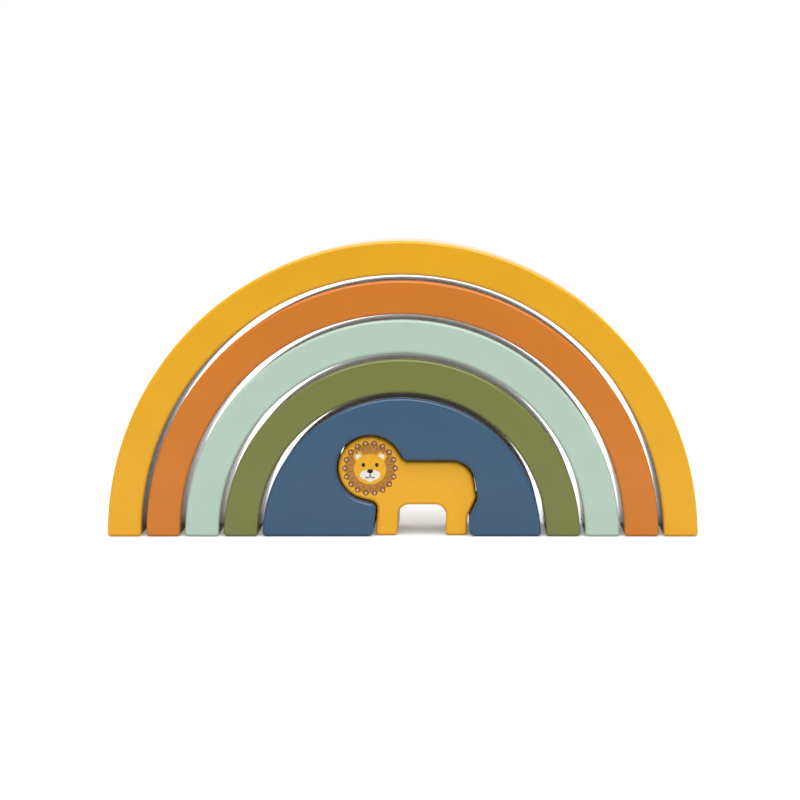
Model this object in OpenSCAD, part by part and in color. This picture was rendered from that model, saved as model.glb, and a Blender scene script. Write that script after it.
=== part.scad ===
// Rainbow stacker: a half-round block with a lion standing in a notch through it, and four arches
// that nest over the block. Every piece is sawn from thick board, has a round-over along the edges
// of both faces and stands on its own feet. The front faces -Y, up is +Z, and the origin lies on
// the floor under the middle of the set.

/* [Board] */
// Depth of the block and the arches, from front face to back face
board_d = 40; // [30:1:60]
// Round-over along the edges of every piece
edge_r = 1.6; // [0.8:0.1:1.8]

/* [Arches] */
// Width of an arch, from its inner curve to its outer curve
arch_w = 15.2; // [10:0.2:22]
// Free gap between each arch and the piece that it nests over
nest_gap = 2.3; // [1:0.05:5]

/* [Block] */
// Radius of the half-round block
block_r = 62.4; // [56:0.1:80]

/* [Lion] */
// Length of the lion, from the front of its mane to the tip of its tail
lion_l = 62; // [58:1:70]
// Height of the lion, to the top of its mane
lion_h = 45; // [42:0.5:50]
// Radius of the lion's round mane
mane_r = 14.4; // [12.5:0.1:15.5]
// Height of the lion's level back
back_h = 33.6; // [31:0.2:36]
// Radius of the lion's rump
rump_r = 10; // [6:0.5:13]
// Height of the gap under the lion's belly
belly_h = 14; // [11:0.5:16]
// Length of each of the lion's feet
foot_l = 10; // [8:0.2:11]
// Height of the tip of the tail over the floor
tail_h = 17; // [14:0.5:20]
// How far the tip of the tail stands out behind the hind foot
tail_out = 4; // [3:0.2:5]
// Shift of the lion's middle from the middle of the block
lion_x = 2.6; // [-4:0.2:4]
// How far the lion's faces lie behind the block's faces
lion_setback = 3; // [0:0.5:6]
// Free gap between the lion and its notch
lion_gap = 0.7; // [0.4:0.1:1.2]

/* [Hidden] */

$fn = 96;

// How far a cutter reaches past the face that it cuts through
overrun = 3;
// How far a cutter's mouth stays below the floor that the pieces stand on
floor_clear = 0.15;
// How far a foot's rounding lies outside the walls that it runs into, so that it meets them in a line
foot_clear = 0.03;
// Largest turn between two points of a rounded corner, and steps in a round-over
arc_step = 8;
edge_steps = 4;
// Points of an outline nearer than this are one point
same_point = 0.001;

// Fillets of the lion's outline
toe_r = 2;
belly_r = 5;
hock_r = 5;
tail_r = 2.8;
neck_r = 4;
chin_r = 3.4;
// How far the fore paw reaches in front of the chest
paw_out = 1.4;
// How far the inner side of a leg leans back from its foot to the belly
leg_lean = 0.8;
// How far the tail leans out from the rump to its tip
tail_lean = 2.6;
// Where the fore foot starts, as a share of the lion's length
fore_foot_share = 0.265;
// How high the tail leaves the hind leg, as a share of the height of its tip
hock_share = 0.5;
// Angles at which the back and the chest leave the mane, and corners that carry the mane between them
back_angle = 30;
chest_angle = 255;
mane_corners = 4;

// Places on the lion
lion_d = board_d - 2 * lion_setback;
lion_front = lion_x - lion_l / 2;
tail_x = lion_x + lion_l / 2;
rump_x = tail_x - tail_lean;
heel_x = tail_x - tail_out;
toe_x = lion_front + lion_l * fore_foot_share;
chest_x = toe_x + paw_out;
mane_at = [lion_front + mane_r, lion_h - mane_r];
// Where straight lines that touch the mane meet the back and the chest
neck_x = mane_at.x + (mane_r - (back_h - mane_at.y) * sin(back_angle)) / cos(back_angle);
chin_h = mane_at.y + (mane_r - (chest_x - mane_at.x) * cos(chest_angle)) / sin(chest_angle);

// Mouth of the notch: its round corners keep the block's round-over outside them
mouth_r = lion_gap + 2 * edge_r;
mouth_z = -(lion_gap + floor_clear);
mouth_run = mouth_r + overrun;

// An arch's inner and outer radius, counted from the block outwards
function arch_in(k) = block_r + nest_gap + k * (arch_w + nest_gap);
function arch_out(k) = arch_in(k) + arch_w;
last_arch = 3;

// Corners that carry an arc round a centre, from one angle to another
function round_corners(centre, r, from, to, count) =
    let (step = (to - from) / count)
    [for (k = [0 : count - 1])
        let (a = from + step * (k + 0.5))
        [centre.x + r / cos(step / 2) * cos(a), centre.y + r / cos(step / 2) * sin(a), r]];

// The lion from its hock, over the tail, the rump, the back and the mane, to its chest
upper_corners = concat(
    [[heel_x, tail_h * hock_share, hock_r], [tail_x, tail_h, tail_r], [rump_x, back_h, rump_r]],
    [[neck_x, back_h, neck_r]],
    round_corners(mane_at, mane_r, back_angle, chest_angle, mane_corners),
    [[chest_x, chin_h, chin_r]]);

// The feet and the belly, which close the lion's outline along the floor
lower_corners = [
    [toe_x, 0, toe_r], [toe_x + foot_l, 0, toe_r],
    [toe_x + foot_l + leg_lean, belly_h, belly_r], [heel_x - foot_l + leg_lean, belly_h, belly_r],
    [heel_x - foot_l, 0, toe_r], [heel_x, 0, toe_r]];

// The mouth of the notch, which closes its outline below the floor
mouth_corners = [
    [toe_x, mouth_z, mouth_r], [toe_x - mouth_run, mouth_z, edge_r],
    [toe_x - mouth_run, mouth_z - mouth_run, edge_r], [heel_x + mouth_run, mouth_z - mouth_run, edge_r],
    [heel_x + mouth_run, mouth_z, edge_r], [heel_x, mouth_z, mouth_r]];

function xy(p) = [p[0], p[1]];
function unit(v) = v / norm(v);
function cross_2d(a, b) = a.x * b.y - a.y * b.x;
function turned(v, a) = [v.x * cos(a) - v.y * sin(a), v.x * sin(a) + v.y * cos(a)];
function around(list, i) = list[(i + len(list)) % len(list)];

// Side that ends at a corner, the turn there, and how much of each side the corner's fillet takes
function side(corners, i) = xy(around(corners, i)) - xy(around(corners, i - 1));
function turn(corners, i) =
    let (a = unit(side(corners, i)), b = unit(side(corners, i + 1)))
    atan2(cross_2d(a, b), a * b);
function fillet_run(corners, i) = around(corners, i)[2] * tan(abs(turn(corners, i)) / 2);

// A fillet gives way where two of them would overlap on the side between them
function fillet_fit(corners, i) =
    let (run = fillet_run(corners, i))
    min(1,
        norm(side(corners, i)) / (run + fillet_run(corners, i - 1)),
        norm(side(corners, i + 1)) / (run + fillet_run(corners, i + 1)));

// Points of the fillets at every corner, each with its outward direction
function fillet_points(corners) =
    [for (i = [0 : len(corners) - 1])
        let (
            fit = fillet_fit(corners, i),
            r = corners[i][2] * fit,
            a = turn(corners, i),
            along = unit(side(corners, i)),
            start = xy(corners[i]) - along * fillet_run(corners, i) * fit,
            out = [along.y, -along.x],
            centre = start - out * r * sign(a),
            count = max(2, ceil(abs(a) / arc_step)))
        for (k = [0 : count])
            let (way = turned(out, a * k / count))
            [centre + way * r * sign(a), way]];

// A closed outline of rounded corners, where fillets that meet on a side share one point
function rounded_outline(corners) =
    let (points = fillet_points(corners))
    [for (i = [0 : len(points) - 1])
        if (norm(points[i][0] - around(points, i - 1)[0]) > same_point) points[i]];

// An outline moved outwards by a distance
function moved_out(outline, s) = [for (p = outline) p[0] + p[1] * s];

// Triangles that fill a closed outline, cut off one ear at a time
function inside(p, a, b, c) =
    cross_2d(b - a, p - a) >= 0 && cross_2d(c - b, p - b) >= 0 && cross_2d(a - c, p - c) >= 0;
function is_ear(points, left, k) =
    let (
        i = around(left, k - 1), j = left[k], m = around(left, k + 1),
        a = points[i], b = points[j], c = points[m])
    cross_2d(b - a, c - b) > 0
    && len([for (q = left) if (q != i && q != j && q != m && inside(points[q], a, b, c)) q]) == 0;
function next_ear(points, left, k) = is_ear(points, left, k) ? k : next_ear(points, left, k + 1);
function ears(points, left, done = []) =
    len(left) < 3 ? done :
    let (k = next_ear(points, left, 0))
    ears(points, [for (i = [0 : len(left) - 1]) if (i != k) left[i]],
        concat(done, [[around(left, k - 1), left[k], around(left, k + 1)]]));

// A solid that follows an outline from front to back: each ring is [place in depth, move outwards]
module lofted(outline, rings) {
    n = len(outline);
    last = n * (len(rings) - 1);
    points = [for (ring = rings) for (p = moved_out(outline, ring[1])) [p.x, ring[0], p.y]];
    fill = ears(moved_out(outline, rings[0][1]), [for (i = [0 : n - 1]) i]);
    front = [for (t = fill) [t[2], t[1], t[0]]];
    back = [for (t = fill) [t[0] + last, t[1] + last, t[2] + last]];
    sides = [for (j = [0 : len(rings) - 2]) for (i = [0 : n - 1])
        let (a = j * n + i, b = j * n + (i + 1) % n)
        for (t = [[a, b, b + n], [a, b + n, a + n]]) t];
    polyhedron(points = points, faces = concat(front, sides, back));
}

// Rings of a round-over, from the face inwards: depth below the face, and how far the edge draws in
edge_rings = [for (k = [0 : edge_steps])
    let (a = 90 * k / edge_steps)
    [edge_r * (1 - cos(a)), edge_r * (1 - sin(a))]];

// Rings of a piece of a given depth whose edges draw in towards both faces
function drawn_in(d) = concat(
    [for (e = edge_rings) [-d / 2 + e[0], -e[1]]],
    [for (k = [edge_steps : -1 : 0]) [d / 2 - edge_rings[k][0], -edge_rings[k][1]]]);

// Rings of a cutter through a piece of a given depth, which opens out towards both faces
function opened_out(d, gap) = concat(
    [[-d / 2 - overrun, gap + edge_r]],
    [for (e = edge_rings) [-d / 2 + e[0], gap + e[1]]],
    [for (k = [edge_steps : -1 : 0]) [d / 2 - edge_rings[k][0], gap + edge_rings[k][1]]],
    [[d / 2 + overrun, gap + edge_r]]);

// Quarter of a disc, below and to the right of its centre
module quarter_disc() {
    intersection() {
        circle(edge_r);
        translate([0, -edge_r]) square(edge_r);
    }
}

// Foot of a given width and depth: a low pad with every lower edge rounded
module foot(w, d) {
    core = [w - 2 * edge_r, d - 2 * edge_r];
    translate([0, 0, edge_r]) {
        translate([-core.x / 2, -core.y / 2, -edge_r]) cube([core.x, core.y, edge_r]);
        for (side = [0, 1], flip = [0, 180]) {
            run = core[1 - side];
            rotate([0, 0, flip + 90 * side]) translate([core[side] / 2, run / 2, 0])
                rotate([90, 0, 0]) linear_extrude(run) quarter_disc();
            rotate([0, 0, flip + 90 * side]) translate([core[side] / 2, run / 2, 0])
                rotate_extrude(angle = 90) quarter_disc();
        }
    }
}

// Section of a half-round piece between two radii, with round outer corners and, on an arch, inner ones
module band(r_in, r_out, inner_edge) {
    flat_in = r_in + inner_edge;
    flat_out = r_out - edge_r;
    translate([flat_in, -board_d / 2]) square([flat_out - flat_in, board_d]);
    translate([r_in, -board_d / 2 + edge_r]) square([r_out - r_in, board_d - 2 * edge_r]);
    for (side = [-1, 1]) translate([0, side * (board_d / 2 - edge_r)]) {
        translate([flat_out, 0]) circle(edge_r);
        if (inner_edge > 0) translate([flat_in, 0]) circle(edge_r);
    }
}

// The half turn of a section round the middle of the floor
module half_turn() {
    rotate([90, 0, 0]) rotate_extrude(angle = 180) children();
}

// A half-round piece whose lower edges are rounded as those of feet of a given width, at given places
module on_feet(w, places) {
    reach = arch_out(last_arch) + overrun;
    intersection() {
        children();
        union() {
            translate([-reach, -board_d, edge_r]) cube([2 * reach, 2 * board_d, reach]);
            for (x = places) translate([x, 0, 0]) foot(w + 2 * foot_clear, board_d + 2 * foot_clear);
        }
    }
}

module arch(k) {
    middle = arch_in(k) + arch_w / 2;
    on_feet(arch_w, [-middle, middle]) half_turn() band(arch_in(k), arch_out(k), edge_r);
}

module block() {
    color("#48627B") difference() {
        on_feet(2 * block_r, [0]) half_turn() band(0, block_r, 0);
        lofted(rounded_outline(concat(upper_corners, mouth_corners)), opened_out(board_d, lion_gap));
    }
}

module lion() {
    color("#E9AE3A") lofted(rounded_outline(concat(upper_corners, lower_corners)), drawn_in(lion_d));
}

module inner_arch() { color("#7B8151") arch(0); }
module second_arch() { color("#B7CEBE") arch(1); }
module third_arch() { color("#D37E3E") arch(2); }
module outer_arch() { color("#E8AC3A") arch(3); }

block();
lion();
inner_arch();
second_arch();
third_arch();
outer_arch();
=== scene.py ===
"""Rainbow stacker: the looks of the block, the lion and the four arches, over the shared frame.

Lengths are in millimetres and angles in degrees, unless a line says otherwise."""

import math
from typing import NamedTuple

import bpy
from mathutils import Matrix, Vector


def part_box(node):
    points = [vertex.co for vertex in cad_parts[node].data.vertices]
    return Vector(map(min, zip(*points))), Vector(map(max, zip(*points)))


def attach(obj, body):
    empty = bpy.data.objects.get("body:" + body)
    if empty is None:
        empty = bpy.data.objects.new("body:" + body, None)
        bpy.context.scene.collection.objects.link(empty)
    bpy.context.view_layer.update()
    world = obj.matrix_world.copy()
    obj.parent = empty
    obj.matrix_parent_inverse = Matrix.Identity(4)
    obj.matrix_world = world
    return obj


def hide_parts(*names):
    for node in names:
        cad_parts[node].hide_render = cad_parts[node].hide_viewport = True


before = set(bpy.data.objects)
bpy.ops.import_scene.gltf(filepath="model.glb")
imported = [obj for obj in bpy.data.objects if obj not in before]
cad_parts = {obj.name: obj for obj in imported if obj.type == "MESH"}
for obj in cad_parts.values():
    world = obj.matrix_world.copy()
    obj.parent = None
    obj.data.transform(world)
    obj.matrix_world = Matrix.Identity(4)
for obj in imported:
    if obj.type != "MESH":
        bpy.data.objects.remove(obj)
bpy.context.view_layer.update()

MM = 0.001
SIDES = (-1, 1)

# Sizes shared by every piece
ROUND_OVER = 1.6
ARCH_W = 15.2
# The round-over stays a little smaller than the foot's corner, so that no point meets another
ROUND_SHARE = 0.94

# How finely curves are drawn
ARC_STEP = 2.5
FEWEST_STEPS = 2
ROUND_STEPS = 6
MOUTH_STEPS = 12
HALF_ROUND_CORNERS = 12
MANE_CORNERS = 6
SAME_POINT = 0.01

# The lion's outline
MANE_R = 14.4
BACK_H = 33.6
RUMP_R = 10.0
BELLY_H = 14.0
FOOT_L = 10.0
TAIL_H = 17.0
TAIL_OUT = 4.0
TAIL_LEAN = 2.6
PAW_OUT = 1.4
LEG_LEAN = 0.8
FORE_FOOT_SHARE = 0.265
HOCK_SHARE = 0.5
BACK_ANGLE = 30
CHEST_ANGLE = 255

# Fillets of the lion's outline
TOE_R = 2.0
BELLY_R = 5.0
HOCK_R = 5.0
TAIL_R = 2.8
NECK_R = 4.0
CHIN_R = 3.4

# The notch round the lion, whose outline closes below the floor, and its rounded mouth
LION_GAP = 0.7
MOUTH_R = 2 * ROUND_OVER
BELOW_FLOOR = -40.0
BELOW_FLOOR_R = 1.0

# Colours of the paints, the print and the bare wood
BLUE = (0.038, 0.100, 0.184)
AMBER = (0.895, 0.448, 0.010)
OLIVE = (0.188, 0.206, 0.050)
MINT = (0.475, 0.630, 0.530)
ORANGE = (0.655, 0.195, 0.014)
YELLOW = (0.830, 0.415, 0.008)
MANE_BROWN = (0.500, 0.215, 0.034)
MANE_DARK = (0.340, 0.120, 0.020)
CREAM = (0.880, 0.840, 0.750)
INK_BLACK = (0.012, 0.010, 0.009)
WOOD_PALE = (0.640, 0.520, 0.395)
WOOD_DEEP = (0.500, 0.372, 0.255)


class Finish(NamedTuple):
    """How a piece is painted and sawn.

    The place moves the wood's pattern, so that no two pieces are alike. The wrap is how far the paint
    goes past the round-over. The sawn sides have one roughness inside the arch and one outside."""

    paint: tuple
    slot: str
    place: tuple
    wrap: float
    inside: float
    outside: float


FINISHES = {
    "block": Finish(BLUE, "blue_paint", (40, 66, -6), 2.0, 0.50, 0.50),
    "lion": Finish(AMBER, "amber_paint", (470, -52, -30), 0.8, 0.30, 0.30),
    "inner_arch": Finish(OLIVE, "olive_paint", (310, 58, -22), 0.8, 0.22, 0.31),
    "second_arch": Finish(MINT, "mint_paint", (620, -82, -12), 0.8, 0.20, 0.33),
    "third_arch": Finish(ORANGE, "orange_paint", (150, 96, -48), 0.8, 0.20, 0.33),
    "outer_arch": Finish(YELLOW, "yellow_paint", (880, -74, -34), 0.8, 0.28, 0.36),
}
ARCHES = ("inner_arch", "second_arch", "third_arch", "outer_arch")


def in_mm(node):
    """Lowest and highest corner of a CAD node, in millimetres."""
    lo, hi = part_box(node)
    return lo / MM, hi / MM


# Outlines: lists of corners (x, z, fillet radius), anticlockwise as seen from the front
def round_corners(centre, r, start, end, count):
    """Corners that carry an arc round a centre, from one angle to another."""
    step = math.radians(end - start) / count
    far = r / math.cos(step / 2)
    angles = [math.radians(start) + step * (k + 0.5) for k in range(count)]
    return [(centre[0] + far * math.cos(a), centre[1] + far * math.sin(a), r) for a in angles]


def lion_places():
    """Named places on the lion, worked out from its box in the frame."""
    lo, hi = in_mm("lion")
    mane = (lo.x + MANE_R, hi.z - MANE_R)
    toe = lo.x + (hi.x - lo.x) * FORE_FOOT_SHARE
    chest = toe + PAW_OUT
    back = math.radians(BACK_ANGLE)
    front = math.radians(CHEST_ANGLE)
    neck = mane[0] + (MANE_R - (BACK_H - mane[1]) * math.sin(back)) / math.cos(back)
    chin = mane[1] + (MANE_R - (chest - mane[0]) * math.cos(front)) / math.sin(front)
    return {"mane": mane, "toe": toe, "chest": chest, "neck": neck, "chin": chin,
            "tail": hi.x, "heel": hi.x - TAIL_OUT, "rump": hi.x - TAIL_LEAN}


def lion_upper(at):
    """The lion from its hock, over the tail, the back and the mane, to its chest."""
    behind = [(at["heel"], TAIL_H * HOCK_SHARE, HOCK_R), (at["tail"], TAIL_H, TAIL_R),
              (at["rump"], BACK_H, RUMP_R), (at["neck"], BACK_H, NECK_R)]
    mane = round_corners(at["mane"], MANE_R, BACK_ANGLE, CHEST_ANGLE, MANE_CORNERS)
    return behind + mane + [(at["chest"], at["chin"], CHIN_R)]


def lion_corners():
    """The whole lion: the upper outline, then the feet and the belly."""
    at = lion_places()
    fore = at["toe"] + FOOT_L
    hind = at["heel"] - FOOT_L
    return lion_upper(at) + [
        (at["toe"], 0, TOE_R), (fore, 0, TOE_R), (fore + LEG_LEAN, BELLY_H, BELLY_R),
        (hind + LEG_LEAN, BELLY_H, BELLY_R), (hind, 0, TOE_R), (at["heel"], 0, TOE_R)]


def half_round(r, hand):
    """Corners of a half circle on the floor that runs into a foot's rounded edge at both ends.

    The hand is 1 where the foot lies inside the circle and -1 where it lies outside."""
    lift = math.degrees(math.asin(ROUND_OVER / (r - hand * ROUND_OVER)))
    end = r / math.cos(math.radians(lift))
    arc_corners = round_corners((0, 0), r, lift, 180 - lift, HALF_ROUND_CORNERS)
    return [(end, 0, ROUND_OVER)] + arc_corners + [(-end, 0, ROUND_OVER)]


def arch_corners(r_in, r_out):
    """An arch: its outside, then its inside the other way round."""
    return half_round(r_out, 1) + half_round(r_in, -1)[::-1]


def rounded(corners):
    """Points of a closed outline with its fillets, each with its outward direction."""
    count = len(corners)
    flat = [Vector(c[:2]) for c in corners]
    sides = [flat[i] - flat[i - 1] for i in range(count)]
    ways = [s.normalized() for s in sides]
    turns = []
    for i in range(count):
        a, b = ways[i], ways[(i + 1) % count]
        turns.append(math.atan2(a.x * b.y - a.y * b.x, a.dot(b)))
    runs = [corners[i][2] * math.tan(abs(turns[i]) / 2) for i in range(count)]
    rows = []
    for i in range(count):
        after = (i + 1) % count
        # A fillet shrinks where it would run into the next one
        fit = min(1, sides[i].length / (runs[i] + runs[i - 1]),
                  sides[after].length / (runs[i] + runs[after]))
        r = corners[i][2] * fit
        hand = 1 if turns[i] > 0 else -1
        out = Vector((ways[i].y, -ways[i].x))
        start = flat[i] - ways[i] * runs[i] * fit
        centre = start - out * r * hand
        steps = max(FEWEST_STEPS, math.ceil(abs(math.degrees(turns[i])) / ARC_STEP))
        for k in range(steps + 1):
            a = turns[i] * k / steps
            c, s = math.cos(a), math.sin(a)
            way = Vector((out.x * c - out.y * s, out.x * s + out.y * c))
            p = centre + way * r * hand
            if not rows or (p - rows[-1][0]).length > SAME_POINT:
                rows.append((p, way))
    if (rows[0][0] - rows[-1][0]).length <= SAME_POINT:
        rows.pop()
    return rows


def notch_rows():
    """The notch's wall from its left end to its right end, at a free gap from the lion."""
    at = lion_places()
    below_toe = at["toe"] + PAW_OUT * BELOW_FLOOR / at["chin"]
    closed = lion_upper(at) + [(x, BELOW_FLOOR, BELOW_FLOOR_R) for x in (below_toe, at["heel"])]
    rows = [(p + way * LION_GAP, -way) for p, way in rounded(closed)]
    rows = [row for row in rows if row[0].y > MOUTH_R]
    first = max(range(len(rows)), key=lambda i: (rows[i][0] - rows[i - 1][0]).length)
    return (rows[first:] + rows[:first])[::-1]


def mouth_rows(wall_end):
    """The rounded corner that leads from the floor to an end of the notch's wall."""
    p, wall_way = wall_end
    x = (p.dot(wall_way) - MOUTH_R - MOUTH_R * wall_way.y) / wall_way.x
    turn = math.atan2(wall_way.x, -wall_way.y)
    rows = []
    for k in range(MOUTH_STEPS + 1):
        a = turn * k / MOUTH_STEPS
        way = Vector((math.sin(a), -math.cos(a)))
        rows.append((Vector((x, MOUTH_R)) + way * MOUTH_R, way))
    return rows


def block_rows():
    """The block's outline: its half round, and the notch with its rounded mouth."""
    outer = rounded(half_round(in_mm("block")[1].x, 1))
    notch = notch_rows()
    return outer + mouth_rows(notch[0]) + notch + mouth_rows(notch[-1])[::-1]


def lofted(name, rows, depth, material):
    """A solid that follows an outline from front to back, with a round-over along both faces."""
    r = ROUND_OVER * ROUND_SHARE
    # Rings from front to back: place in depth, how far the outline draws in, and angle from the face
    rings = []
    for k in range(ROUND_STEPS + 1):
        a = math.pi / 2 * k / ROUND_STEPS
        rings.append((-depth / 2 + r * (1 - math.cos(a)), r * (1 - math.sin(a)), a))
    rings += [(-y, inset, a) for y, inset, a in rings[::-1]]
    n = len(rows)
    points, normals = [], []
    for y, inset, a in rings:
        tilt, lie = math.sin(a), math.cos(a)
        for p, way in rows:
            points.append((Vector((p.x - way.x * inset, y, p.y - way.y * inset)) * MM)[:])
            normals.append((way.x * tilt, math.copysign(lie, y), way.y * tilt))
    last = n * (len(rings) - 1)
    faces = [tuple(range(n)), tuple(last + i for i in reversed(range(n)))]
    for j in range(len(rings) - 1):
        for i in range(n):
            a, b = j * n + i, j * n + (i + 1) % n
            faces.append((a, a + n, b + n, b))
    return mesh_object(name, points, faces, material, normals)


def mesh_object(name, points, faces, material, normals=None):
    """A mesh in the scene, shaded smooth where normals are given."""
    mesh = bpy.data.meshes.new(name)
    mesh.from_pydata(points, [], faces)
    mesh.materials.append(material)
    if normals:
        mesh.shade_smooth()
        mesh.normals_split_custom_set_from_vertices(normals)
    mesh.validate()
    obj = bpy.data.objects.new(name, mesh)
    bpy.context.scene.collection.objects.link(obj)
    return obj


# Sockets of the Mix node, which has a set of them for each kind of value
MIX_FACTOR = 0
MIX_VALUES, MIX_VALUE_OUT = (2, 3), 0
MIX_COLOURS, MIX_COLOUR_OUT = (6, 7), 2


class Nodes:
    """A short way to write the nodes of a material or of the world."""

    def __init__(self, owner, shader="Principled BSDF"):
        self.owner = owner
        owner.use_nodes = True
        self.tree = owner.node_tree
        self.shader = self.tree.nodes[shader]

    def add(self, kind, links=None, **settings):
        """A new node with its settings, and its inputs linked or set."""
        node = self.tree.nodes.new(kind)
        for key, value in settings.items():
            setattr(node, key, value)
        for key, value in (links or {}).items():
            self.put(node.inputs[key], value)
        return node

    def put(self, socket, value):
        """Link an input to another node, or set its value."""
        if isinstance(value, bpy.types.NodeSocket):
            self.tree.links.new(value, socket)
        else:
            socket.default_value = value

    def give(self, name, value):
        """Set an input of the shader."""
        self.put(self.shader.inputs[name], value)

    def maths(self, operation, *values):
        node = self.add("ShaderNodeMath", operation=operation)
        for socket, value in zip(node.inputs, values):
            self.put(socket, value)
        return node.outputs[0]

    def length(self, vector):
        return self.add("ShaderNodeVectorMath", {0: vector}, operation="LENGTH").outputs["Value"]

    def part(self, vector, axis):
        """One coordinate of a vector."""
        return self.add("ShaderNodeSeparateXYZ", {"Vector": vector}).outputs[axis]

    def place(self, kind):
        """The object's own coordinates or its own normal, or a direction in the world."""
        return self.add("ShaderNodeTexCoord").outputs[kind]

    def in_millimetres(self, place=(0, 0, 0), stretch=(1, 1, 1)):
        """The object's own coordinates in millimetres, stretched and moved to a place of their own."""
        return self.add("ShaderNodeMapping", {
            "Vector": self.place("Object"), "Location": place,
            "Scale": [s / MM for s in stretch]}).outputs["Vector"]

    def noise(self, vector, scale, detail, roughness=0.5):
        return self.add("ShaderNodeTexNoise", {
            "Vector": vector, "Scale": scale, "Detail": detail, "Roughness": roughness}).outputs["Fac"]

    def spread(self, value, low, high, to_low, to_high, smooth=False):
        """A value from one range taken to another, and held at its ends."""
        node = self.add("ShaderNodeMapRange", {
            "Value": value, "From Min": low, "From Max": high, "To Min": to_low, "To Max": to_high})
        if smooth:
            node.interpolation_type = "SMOOTHSTEP"
        return node.outputs["Result"]

    def mix(self, factor, a, b, blend="MIX"):
        node = self.add("ShaderNodeMix", data_type="RGBA", blend_type=blend)
        self.put(node.inputs[MIX_FACTOR], factor)
        for key, colour in zip(MIX_COLOURS, (a, b)):
            plain = not isinstance(colour, bpy.types.NodeSocket)
            self.put(node.inputs[key], (*colour, 1) if plain else colour)
        return node.outputs[MIX_COLOUR_OUT]

    def mix_value(self, factor, a, b):
        node = self.add("ShaderNodeMix", data_type="FLOAT")
        self.put(node.inputs[MIX_FACTOR], factor)
        for key, value in zip(MIX_VALUES, (a, b)):
            self.put(node.inputs[key], value)
        return node.outputs[MIX_VALUE_OUT]

    def grey(self, level):
        """A colour with the same level in red, green and blue."""
        return self.add("ShaderNodeCombineColor", {
            "Red": level, "Green": level, "Blue": level}).outputs[0]

    def shaded(self, colour, shade):
        """A colour made lighter or darker by a value near 1."""
        return self.mix(1.0, colour, self.grey(shade), "MULTIPLY")


# Noises: scale per millimetre, detail, and roughness where it isn't the usual
RING_BEND_NOISE = (0.045, 2.0)
RING_NOISE = (0.34, 3.0, 0.62)
FIBRE_NOISE = (1.3, 4.0, 0.6)
PORE_NOISE = (1.0, 2.0)
CLOUD_NOISE = (0.05, 3.0)
STREAK_NOISE = (0.8, 3.0, 0.6)
BORDER_NOISE = (0.22, 3.0)
STIPPLE_NOISE = (0.9, 2.0)
INK_NOISE = (0.6, 3.0)

# How a noise is squeezed along the grain, which runs along X
RING_BEND_STRETCH = (0.25, 1, 1)
FIBRE_STRETCH = (0.03, 1, 1)
PORE_STRETCH = (0.14, 2.6, 2.6)
STREAK_STRETCH = (0.05, 1, 1)

# Ranges that a noise or a direction is taken from and to
RING_RANGE = (0.36, 0.70, 0.0, 0.85)
PORE_RANGE = (0.60, 0.74, 0.0, 0.35)
END_GRAIN_RANGE = (0.3, 1.0, 0.0, 0.35)
GRAIN_ROUGHNESS_RANGE = (0.3, 0.7, 1.2, 0.8)
CLOUD_RANGE = (0.3, 0.7, 0.975, 1.025)
STREAK_RANGE = (0.3, 0.7, 0.994, 1.006)
INK_RANGE = (0.3, 0.7, 0.94, 1.06)

# Strengths in the wood and the paint
RING_BEND = 12.0
FIBRE_TONE = 0.4
PORE_DARKNESS = 0.72
END_GRAIN_DARKNESS = 0.80
SAWN_BLEND = 1.0
BORDER_WANDER = 0.5
BORDER_START, BORDER_END = 0.02, 0.22
WOOD_RELIEF = 2.0
STIPPLE_RELIEF = 0.03
STREAK_RELIEF = 0.6
BUMP_STRENGTH = 0.35
BUMP_HEIGHT = 0.05
PAINT_ROUGHNESS = 0.21
INK_ROUGHNESS = 0.5
INK_PLACE = (7, 3, 5)


def darker(colour, share):
    """A colour at a share of its level."""
    return [c * share for c in colour]


def bare_wood(nodes, place):
    """Colour and height of pale wood: growth rings round a line along X, fibres and pores."""
    from_pith = nodes.length(nodes.in_millimetres((0, *place[1:]), (0, 1, 1)))
    bend = nodes.noise(nodes.in_millimetres(place, RING_BEND_STRETCH), *RING_BEND_NOISE)
    year = nodes.maths("ADD", from_pith, nodes.maths("MULTIPLY", bend, RING_BEND))
    rings = nodes.noise(nodes.add("ShaderNodeCombineXYZ", {"X": year}).outputs[0], *RING_NOISE)
    fibre = nodes.noise(nodes.in_millimetres(place, FIBRE_STRETCH), *FIBRE_NOISE)
    pores = nodes.noise(nodes.in_millimetres(place, PORE_STRETCH), *PORE_NOISE)
    band = nodes.spread(rings, *RING_RANGE)
    tone = nodes.maths("ADD", band, nodes.maths("MULTIPLY", fibre, FIBRE_TONE))
    colour = nodes.mix(tone, WOOD_PALE, WOOD_DEEP)
    flecks = nodes.spread(pores, *PORE_RANGE, smooth=True)
    colour = nodes.mix(flecks, colour, darker(WOOD_DEEP, PORE_DARKNESS))
    across_grain = nodes.maths("ABSOLUTE", nodes.part(nodes.place("Normal"), "X"))
    end_grain = nodes.spread(across_grain, *END_GRAIN_RANGE)
    colour = nodes.mix(end_grain, colour, darker(WOOD_DEEP, END_GRAIN_DARKNESS))
    return colour, nodes.maths("SUBTRACT", fibre, flecks)


def sawn_roughness(nodes, wood_height, finish, r):
    """Roughness of the sawn sides, inside and outside a half circle, varied by the grain."""
    far = nodes.length(nodes.in_millimetres(stretch=(1, 0, 1)))
    even = nodes.spread(far, r - SAWN_BLEND, r + SAWN_BLEND, finish.inside, finish.outside)
    return nodes.maths("MULTIPLY", even, nodes.spread(wood_height, *GRAIN_ROUGHNESS_RANGE))


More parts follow.
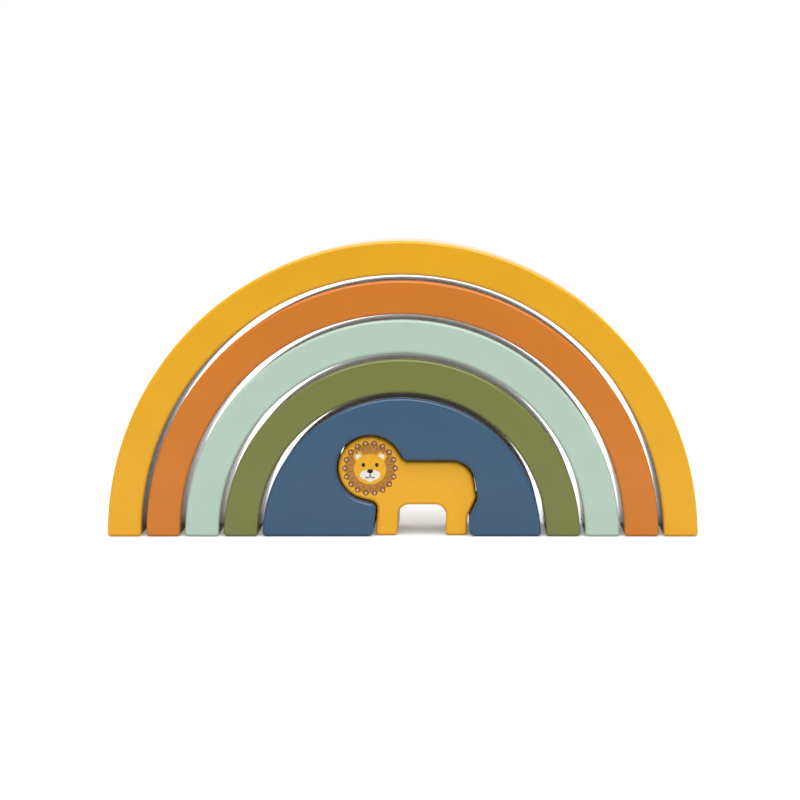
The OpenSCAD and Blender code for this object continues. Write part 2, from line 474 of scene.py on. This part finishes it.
def painted_wood(finish, depth, r):
    """Satin paint on both faces, wrapped a little over their edges, and bare wood on the sawn sides."""
    nodes = Nodes(bpy.data.materials.new(finish.slot))
    wood, wood_height = bare_wood(nodes, finish.place)
    even = nodes.in_millimetres(finish.place)
    along = nodes.in_millimetres(finish.place, STREAK_STRETCH)
    cloud = nodes.spread(nodes.noise(even, *CLOUD_NOISE), *CLOUD_RANGE)
    streak = nodes.spread(nodes.noise(along, *STREAK_NOISE), *STREAK_RANGE)
    coat = nodes.shaded(finish.paint, nodes.maths("MULTIPLY", cloud, streak))
    from_middle = nodes.maths("ABSOLUTE", nodes.part(nodes.in_millimetres(), "Y"))
    wander = nodes.maths("MULTIPLY", nodes.noise(even, *BORDER_NOISE), BORDER_WANDER)
    edge = depth / 2 - ROUND_OVER - finish.wrap
    covered = nodes.spread(nodes.maths("ADD", from_middle, wander),
                           edge + BORDER_START, edge + BORDER_END, 0.0, 1.0, smooth=True)
    stipple = nodes.maths("MULTIPLY", nodes.noise(even, *STIPPLE_NOISE), STIPPLE_RELIEF)
    coat_height = nodes.maths("ADD", stipple, nodes.maths("MULTIPLY", streak, STREAK_RELIEF))
    height = nodes.mix_value(covered, nodes.maths("MULTIPLY", wood_height, WOOD_RELIEF), coat_height)
    bump = nodes.add("ShaderNodeBump", {
        "Height": height, "Strength": BUMP_STRENGTH, "Distance": BUMP_HEIGHT * MM})
    sawn = sawn_roughness(nodes, wood_height, finish, r)
    nodes.give("Base Color", nodes.mix(covered, wood, coat))
    nodes.give("Roughness", nodes.mix_value(covered, sawn, PAINT_ROUGHNESS))
    nodes.give("Normal", bump.outputs["Normal"])
    return nodes.owner


def ink(name, colour):
    """Flat printed colour with a faint unevenness."""
    nodes = Nodes(bpy.data.materials.new(name))
    even = nodes.in_millimetres(INK_PLACE)
    shade = nodes.spread(nodes.noise(even, *INK_NOISE), *INK_RANGE)
    nodes.give("Base Color", nodes.shaded(colour, shade))
    nodes.give("Roughness", INK_ROUGHNESS)
    return nodes.owner


# The pieces
def place_piece(node, rows):
    """A painted piece that takes the place of its CAD node and moves with it."""
    lo, hi = in_mm(node)
    depth = hi.y - lo.y
    obj = lofted(node + "_body", rows, depth, painted_wood(FINISHES[node], depth, hi.x - ARCH_W / 2))
    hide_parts(node)
    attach(obj, node)


place_piece("block", block_rows())
place_piece("lion", rounded(lion_corners()))
for arch in ARCHES:
    r_out = in_mm(arch)[1].x
    place_piece(arch, rounded(arch_corners(r_out - ARCH_W, r_out)))


# The lion's printed head: outlines round the middle of the mane
LAYER = 0.03
LAYER_STEP = 0.02
SUNK = 0.02
OVAL_STEPS = 40
LEAF_STEPS = 14
TUFT_STEPS = 10
SMILE_STEPS = 12

# Ovals: place to the side and up, half width and half height
EAR = (5.2, 5.2, 2.3, 2.3)
EAR_INSIDE = (5.2, 5.2, 1.3, 1.3)
FACE = (0, -0.4, 7.2, 6.9)
FACE_STEPS = 64
MUZZLE = (1.9, -3.0, 2.7, 2.2)
CHIN = (0, -5.0, 1.7, 1.2)
EYE = (3.0, 1.5, 0.8, 0.95)
NOSE = (0, -1.3, 1.35, 0.95)

# Rings of tufts: radius, height, and the share of a tuft by which the ring is turned
TUFTS = 18
UNDER_MANE = (10.7, 1.9, 0.5)
OVER_MANE = (9.2, 1.6, 0.0)
TUFT_FULLNESS = 1.7

# Hairs, drawn as leaves: the share of a tuft by which they are turned, start, end and half width
LIGHT_HAIR = (0.0, 10.7, 12.0, 0.26)
DARK_HAIR = (0.5, 7.7, 10.1, 0.30)
LEAF_LEAN = 1.25
LEAF_FULLNESS = 0.8

# The mouth: an upright line and two curves that run up from its foot
MOUTH_LINE = 0.4
LIP_TOP, LIP_FOOT = -1.6, -3.3
SMILE_UP, SMILE_R = -3.2, 1.1
SMILE_FROM, SMILE_TO = -90, 55
DOWN = -90


def ellipse(x, z, rx, rz, steps=OVAL_STEPS):
    """An oval round a place on the head."""
    turn = [2 * math.pi * k / steps for k in range(steps)]
    return [(x + rx * math.cos(a), z + rz * math.sin(a)) for a in turn]


def pair(x, z, rx, rz):
    """The same oval on the left and on the right."""
    return [ellipse(side * x, z, rx, rz) for side in SIDES]


def leaf(angle, start, end, half_width):
    """A leaf that points outwards from the face at an angle."""
    a = math.radians(angle)
    rim = []
    for k in range(1, LEAF_STEPS):
        t = k / LEAF_STEPS
        wide = half_width * math.sin(math.pi * t ** LEAF_LEAN) ** LEAF_FULLNESS
        rim.append((start + (end - start) * t, wide))
    line = [(start, 0)] + [(r, -w) for r, w in rim] + [(end, 0)] + [(r, w) for r, w in reversed(rim)]
    return [(r * math.cos(a) - w * math.sin(a), r * math.sin(a) + w * math.cos(a)) for r, w in line]


def hairs(lead, start, end, half_width):
    """One leaf for each tuft."""
    return [leaf(360 / TUFTS * (k + lead), start, end, half_width) for k in range(TUFTS)]


def tufted(r, height, lead):
    """A closed ring of rounded tufts."""
    rim = []
    for k in range(TUFTS * TUFT_STEPS):
        t = (k / TUFT_STEPS + lead) % 1
        far = r + height * (1 - abs(2 * t - 1) ** TUFT_FULLNESS)
        a = 2 * math.pi * k / (TUFTS * TUFT_STEPS)
        rim.append((far * math.cos(a), far * math.sin(a)))
    return rim


def stroke(points):
    """A line of even width with square ends."""
    left, right = [], []
    for i, (x, z) in enumerate(points):
        ahead, behind = points[min(i + 1, len(points) - 1)], points[max(i - 1, 0)]
        along = Vector((ahead[0] - behind[0], ahead[1] - behind[1])).normalized() * MOUTH_LINE / 2
        left.append((x - along.y, z + along.x))
        right.append((x + along.y, z - along.x))
    return right + left[::-1]


def smile(side):
    """One half of the mouth's curve."""
    start, end = DOWN + side * SMILE_FROM, DOWN + side * SMILE_TO
    turn = [math.radians(start + (end - start) * k / SMILE_STEPS) for k in range(SMILE_STEPS + 1)]
    return [(side * SMILE_R + SMILE_R * math.cos(a), SMILE_UP + SMILE_R * math.sin(a)) for a in turn]


def printed(name, shapes, layer, material):
    """Thin flat shapes on the lion's front, one layer above another."""
    at = lion_places()["mane"]
    front = in_mm("lion")[0].y
    points, faces = [], []
    for k, shape in enumerate(shapes):
        n, base = len(shape), len(points)
        for y in (front - LAYER * (layer + k * LAYER_STEP), front + SUNK):
            points += [(Vector((at[0] + x, y, at[1] + z)) * MM)[:] for x, z in shape]
        faces.append(tuple(base + i for i in range(n)))
        faces.append(tuple(base + n + i for i in reversed(range(n))))
        for i in range(n):
            a, b = base + i, base + (i + 1) % n
            faces.append((a, a + n, b + n, b))
    obj = mesh_object(name, points, faces, material)
    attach(obj, "lion")


brown = ink("mane_brown", MANE_BROWN)
dark = ink("mane_dark", MANE_DARK)
cream = ink("cream_ink", CREAM)
black = ink("black_ink", INK_BLACK)
amber = ink("amber_ink", AMBER)
printed("mane_under", [tufted(*UNDER_MANE)], 1, dark)
printed("mane_over", [tufted(*OVER_MANE)], 2, brown)
printed("mane_light_hairs", hairs(*LIGHT_HAIR), 3, cream)
printed("mane_dark_hairs", hairs(*DARK_HAIR), 3, dark)
printed("ears", pair(*EAR), 3, amber)
printed("ear_insides", pair(*EAR_INSIDE), 4, cream)
printed("face", [ellipse(*FACE, FACE_STEPS)], 5, amber)
printed("muzzle", pair(*MUZZLE), 6, cream)
printed("chin", [ellipse(*CHIN)], 7, cream)
printed("eyes", pair(*EYE), 6, black)
printed("nose", [ellipse(*NOSE)], 8, black)
lip = [(0, LIP_TOP), (0, LIP_FOOT)]
printed("mouth", [stroke(lip)] + [stroke(smile(side)) for side in SIDES], 8, black)


# Floor, light and camera, in metres
WHITE = (1, 1, 1, 1)
FLOOR_HALF = 4.0
FLOOR_SEEN = 0.72
# What the floor gives back of the light, and its own light, by the distance from the object
LIGHTING_RANGE = (0.20, 0.60, 0.60, 0.30)
GLOW_RANGE = (0.20, 0.45, 0.22, 0.75)
# How much of its own light mirror images show, by the way behind the object
MIRROR_RANGE = (0.02, 0.06, 0.15, 1.2)
ROOM_LEVEL = 0.16
BACKDROP_LEVEL = 1.3
# Softboxes: place, the point that each faces, width, height and watts
SOFTBOXES = {
    "key": ((0.125, -1.55, 2.61), (0, 0, 0.06), 3.5, 3.0, 99.8),
    "top": ((0, -0.05, 1.25), (0, 0, 0.05), 2.2, 0.5, 2.5),
}
CAMERA_AT = Vector((0.029, -0.970, 0.160))
AIM = Vector((-0.00033, -0.020, 0.0616))
WIDTH_AT_AIM = 0.3560
ROLL = -0.30
SENSOR = 36


def white_floor():
    """A floor that the camera sees white, with the object's shadow on it."""
    nodes = Nodes(bpy.data.materials.new("white_floor"))
    ray = nodes.add("ShaderNodeLightPath").outputs
    at = nodes.place("Object")
    mirrored = nodes.maths("MULTIPLY", ray["Is Glossy Ray"],
                           nodes.spread(nodes.part(at, "Y"), *MIRROR_RANGE, smooth=True))
    seen = nodes.maths("MAXIMUM", ray["Is Camera Ray"],
                       nodes.maths("MAXIMUM", mirrored, ray["Is Transmission Ray"]))
    away = nodes.length(at)
    glow = nodes.spread(away, *GLOW_RANGE, smooth=True)
    lighting = nodes.grey(nodes.spread(away, *LIGHTING_RANGE, smooth=True))
    nodes.give("Base Color", nodes.mix(ray["Is Camera Ray"], lighting, [FLOOR_SEEN] * 3))
    nodes.give("Roughness", 1.0)
    nodes.give("Specular IOR Level", 0.0)
    nodes.give("Emission Color", WHITE)
    nodes.give("Emission Strength", nodes.maths("MULTIPLY", seen, glow))
    return nodes.owner


def studio():
    """A white backdrop for the camera, and a room that is bright behind the object and dim in front."""
    nodes = Nodes(bpy.data.worlds.new("studio"), "Background")
    ray = nodes.add("ShaderNodeLightPath").outputs
    seen = nodes.maths("MAXIMUM", ray["Is Camera Ray"], ray["Is Transmission Ray"])
    room = nodes.spread(nodes.part(nodes.place("Generated"), "Y"), -1, 1, ROOM_LEVEL, BACKDROP_LEVEL)
    nodes.give("Color", WHITE)
    nodes.give("Strength", nodes.mix_value(seen, room, 1.0))
    return nodes.owner


def set_up(name, data, place, target):
    """A lamp or camera at a place, turned to face a point."""
    obj = bpy.data.objects.new(name, data)
    bpy.context.scene.collection.objects.link(obj)
    obj.location = place
    obj.rotation_euler = (Vector(target) - Vector(place)).to_track_quat("-Z", "Y").to_euler()
    return obj


corners = [(-FLOOR_HALF, -FLOOR_HALF, 0), (FLOOR_HALF, -FLOOR_HALF, 0),
           (FLOOR_HALF, FLOOR_HALF, 0), (-FLOOR_HALF, FLOOR_HALF, 0)]
mesh_object("floor", corners, [(0, 1, 2, 3)], white_floor())
bpy.context.scene.world = studio()

for name, (place, target, width, height, watts) in SOFTBOXES.items():
    lamp = bpy.data.lights.new(name, "AREA")
    lamp.shape = "RECTANGLE"
    lamp.size = width
    lamp.size_y = height
    lamp.energy = watts
    set_up(name, lamp, place, target)

camera = bpy.data.cameras.new("camera")
camera.sensor_width = SENSOR
camera.lens = SENSOR * (AIM - CAMERA_AT).length / WIDTH_AT_AIM
camera_object = set_up("camera", camera, CAMERA_AT, AIM)
camera_object.rotation_euler.rotate_axis("Z", math.radians(ROLL))
bpy.context.scene.camera = camera_object
bpy.context.scene.view_settings.view_transform = "Standard"
